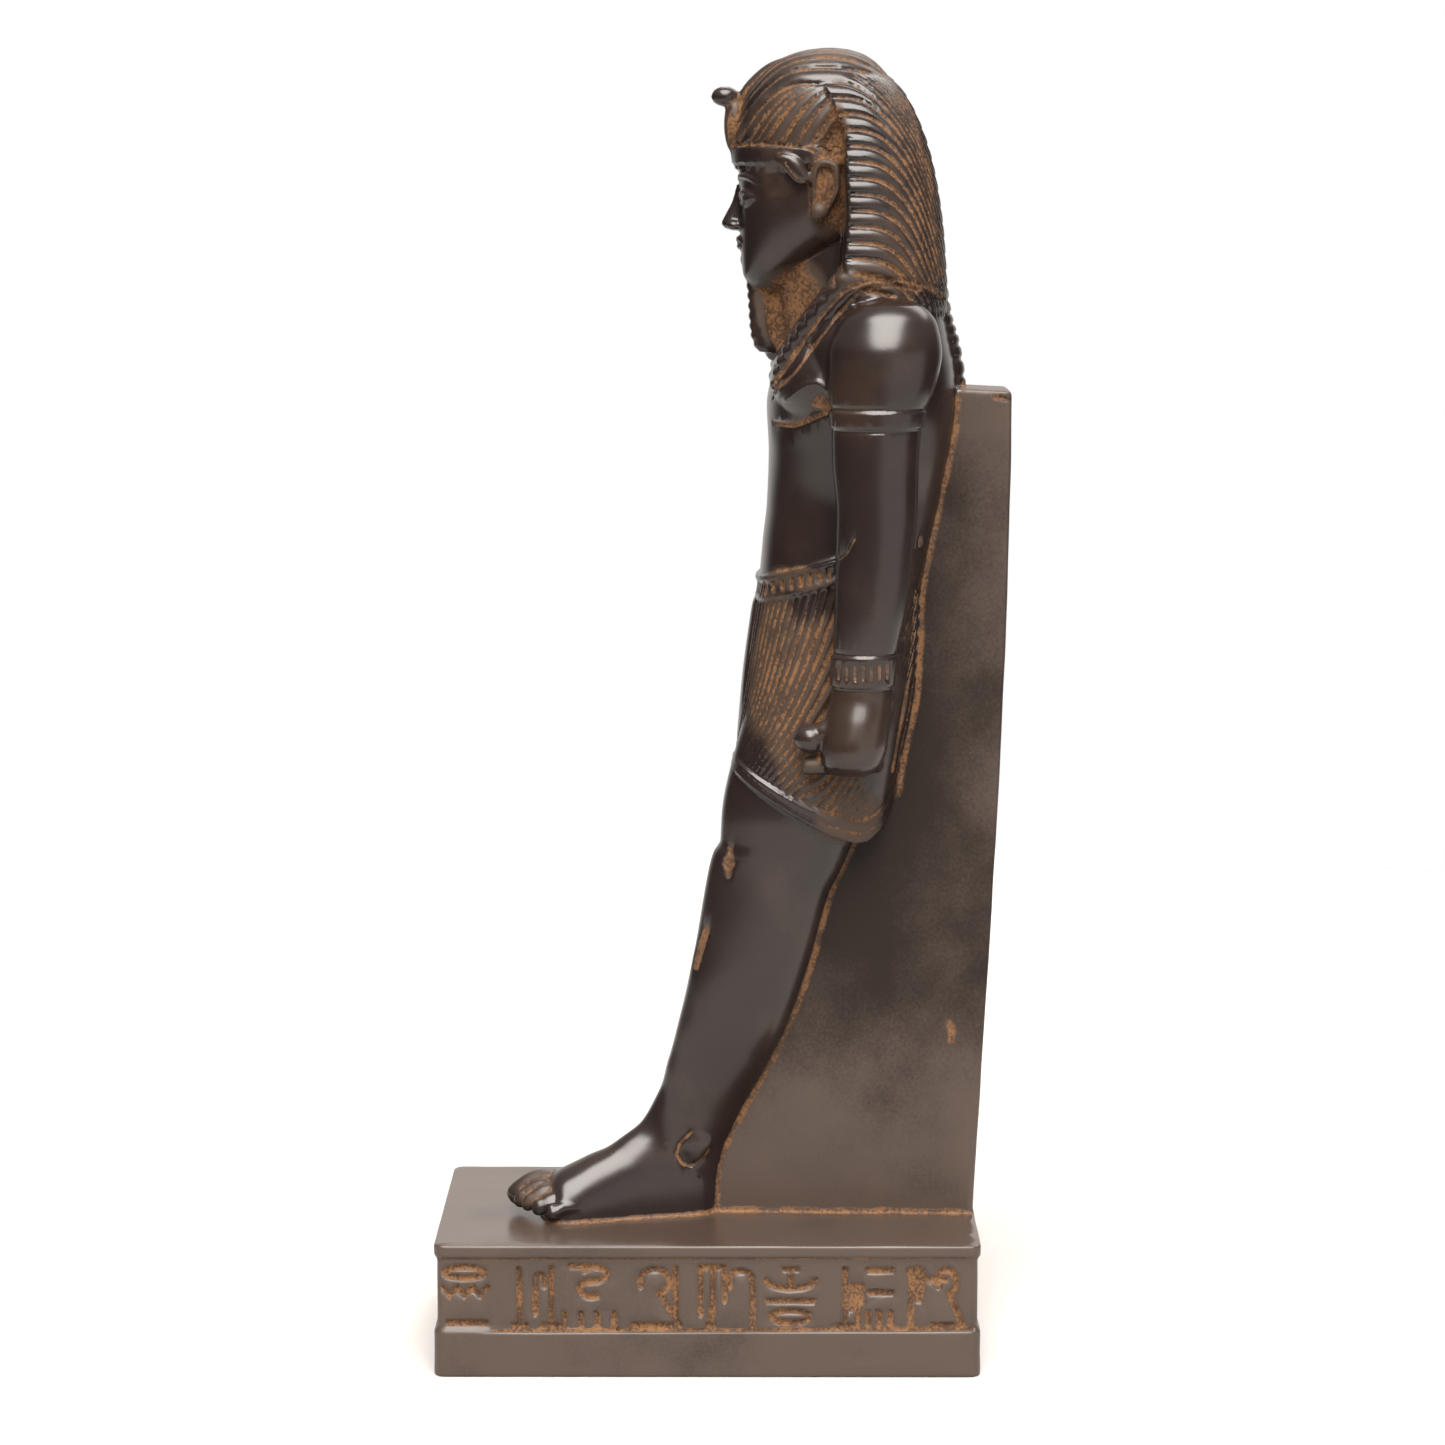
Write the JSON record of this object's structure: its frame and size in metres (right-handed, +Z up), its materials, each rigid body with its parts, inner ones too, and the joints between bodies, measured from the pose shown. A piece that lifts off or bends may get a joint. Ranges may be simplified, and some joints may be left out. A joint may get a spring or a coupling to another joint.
{
  "type": "standing pharaoh statue",
  "caption": "Souvenir statuette of a striding pharaoh in a striped head cloth and pleated kilt, cast in one dark piece with its back slab and its inscribed plinth.",
  "frame": {"origin": "middle of the plinth's underside", "axes": "+Z up, the figure faces -Y with its left foot forward, and its left side is +X"},
  "size_m": [0.0607, 0.1097, 0.2499],
  "materials": {
    "stone": "polished dark stone with a rusty brown patina in the carving"
  },
  "bodies": {
    "root": {"pharaoh_statue": "stone"}
  },
  "joints": []
}
